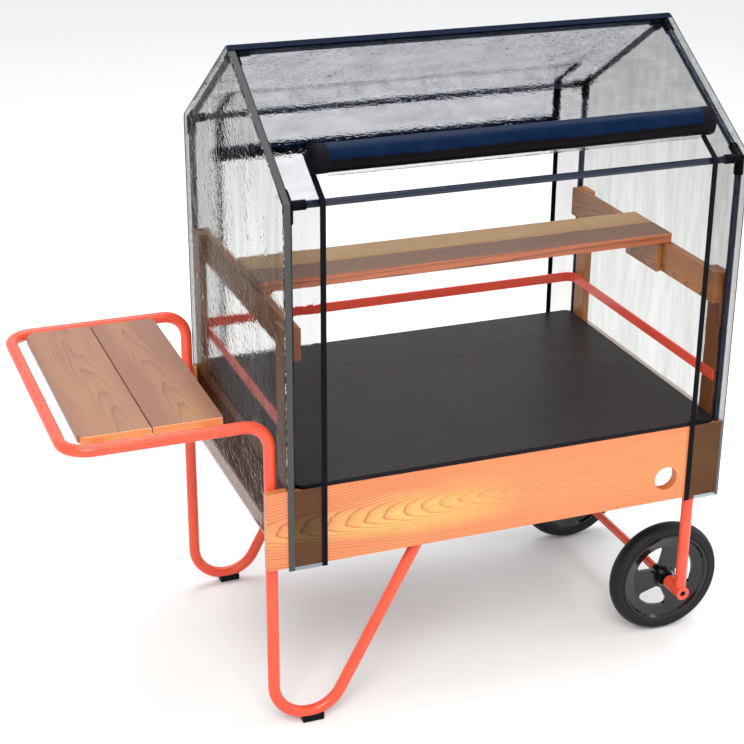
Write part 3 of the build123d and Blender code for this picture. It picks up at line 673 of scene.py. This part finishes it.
def welt(name, way, side):
    """The thin piping along one gable's edge: up the corner, over the eave and up the roof to the ridge."""
    stops = [SLOPE + EAVE_Z - HEM_Z, SLOPE + BEND_HALF, SLOPE + 0.004, SLOPE - 0.004, SLOPE - BEND_HALF,
             0.004]
    curve = bpy.data.curves.new(name, "CURVE")
    curve.dimensions = "3D"
    curve.bevel_depth = 0.0013
    curve.bevel_resolution = 3
    curve.use_fill_caps = True
    line = curve.splines.new("POLY")
    line.points.add(len(stops) - 1)
    for point, s in zip(line.points, stops):
        at = cover_point(way * (FILM_X + 0.0016), s, 0.0010)
        point.co = (at.x, MID_Y + side * (MID_Y - at.y), at.z, 1)
    piece = bpy.data.objects.new(name, curve)
    bpy.context.scene.collection.objects.link(piece)
    curve.materials.append(welt_grey)
    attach(piece, "cart")


front_lo, front_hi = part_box("flap_roll_front")
back_lo, back_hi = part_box("flap_roll_back")
front_mid, back_mid = (front_lo + front_hi) / 2, (back_lo + back_hi) / 2
FLAP_OVER = 0.0030  # middle of a flap, outside the middle of the film
FLAP_TOP = SLOPE - OPENING_HEAD - 0.014  # seam of both flaps, above the opening
BACK_FOOT = SLOPE + EAVE_Z - back_mid.z
flap_sheet("back_flap_film", FLAP_TOP, BACK_FOOT, True, "back_flap", FLAP_OVER, "flap_head_back",
           "flap_sheet_back")
flap_sheet("front_flap_film", FLAP_TOP, SLOPE - 0.084, False, "cart", FLAP_OVER - 0.0006)
roll_lip(front_mid, 0.034)
welt("welt_right_front", 1, -1)
welt("welt_right_back", 1, 1)
welt("welt_left_back", -1, 1)
roll("front_flap_roll", front_mid, (front_hi.z - front_lo.z) / 2, ROLL_X, "flap_roll_front", "cart", -2.4, 7)
roll("back_flap_roll", back_mid, (back_hi.z - back_lo.z) / 2, ROLL_X, "flap_roll_back", "back_flap", 2.4, 4)


# ---- floor, light and camera ----------------------------------------------------------------------
def floor_material():
    g = Graph("floor_white")
    g.shader(Base_Color=colour((234, 234, 234)), Roughness=0.9)
    return g.material


FLOOR_HALF = 200  # metres
corners = [(x * FLOOR_HALF, y * FLOOR_HALF, 0) for x, y in ((-1, -1), (1, -1), (1, 1), (-1, 1))]
floor = make("floor", corners, [(0, 1, 2, 3)], floor_material())
floor.location.z = -0.0005  # just under the wheels and feet

world = bpy.data.worlds.new("studio")
bpy.context.scene.world = world
world.use_nodes = True
sky = world.node_tree.nodes["Background"].inputs
sky["Color"].default_value = (0.97, 0.985, 1.0, 1.0)
sky["Strength"].default_value = 0.98


def soft_light(name, place, size, power, tint):
    lamp = bpy.data.lights.new(name, "AREA")
    lamp.shape = "RECTANGLE"
    lamp.size, lamp.size_y = size
    lamp.energy = power
    lamp.color = tint
    holder = bpy.data.objects.new(name, lamp)
    holder.location = place
    aim = Vector((0.0, 0.0, 0.7)) - Vector(place)
    holder.rotation_mode = "QUATERNION"
    holder.rotation_quaternion = aim.to_track_quat("-Z", "Y")
    bpy.context.scene.collection.objects.link(holder)


soft_light("key", (-1.6, -4.2, 4.6), (3.0, 3.0), 260, (1.0, 0.97, 0.92))
soft_light("top", (0.6, 1.2, 5.2), (4.0, 4.0), 170, (0.94, 0.97, 1.0))
soft_light("side", (4.6, -1.8, 2.4), (2.0, 3.0), 60, (1.0, 1.0, 1.0))

CAMERA_AT = Vector((-1.38062, -3.61988, 2.35473))
YAW, PITCH, ROLL = 0.36401, 0.4026, 0.00607
FOCAL = 1.71169  # focal length in thousands of pixels
PICTURE_WIDTH = 744  # pixels
SENSOR = 36.0  # millimetres
forward = Vector((math.sin(YAW) * math.cos(PITCH), math.cos(YAW) * math.cos(PITCH), -math.sin(PITCH)))
right = Vector((math.cos(YAW), -math.sin(YAW), 0))
up = right.cross(forward)
turned_right = right * math.cos(ROLL) + up * math.sin(ROLL)
turned_up = up * math.cos(ROLL) - right * math.sin(ROLL)
camera_data = bpy.data.cameras.new("camera")
camera_data.sensor_width = SENSOR
camera_data.lens = SENSOR * FOCAL * 1000 / PICTURE_WIDTH
camera = bpy.data.objects.new("camera", camera_data)
view_turn = Matrix((turned_right, turned_up, -forward)).transposed()
camera.matrix_world = Matrix.Translation(CAMERA_AT) @ view_turn.to_4x4()
bpy.context.scene.collection.objects.link(camera)
bpy.context.scene.camera = camera
bpy.context.scene.view_settings.view_transform = "Standard"
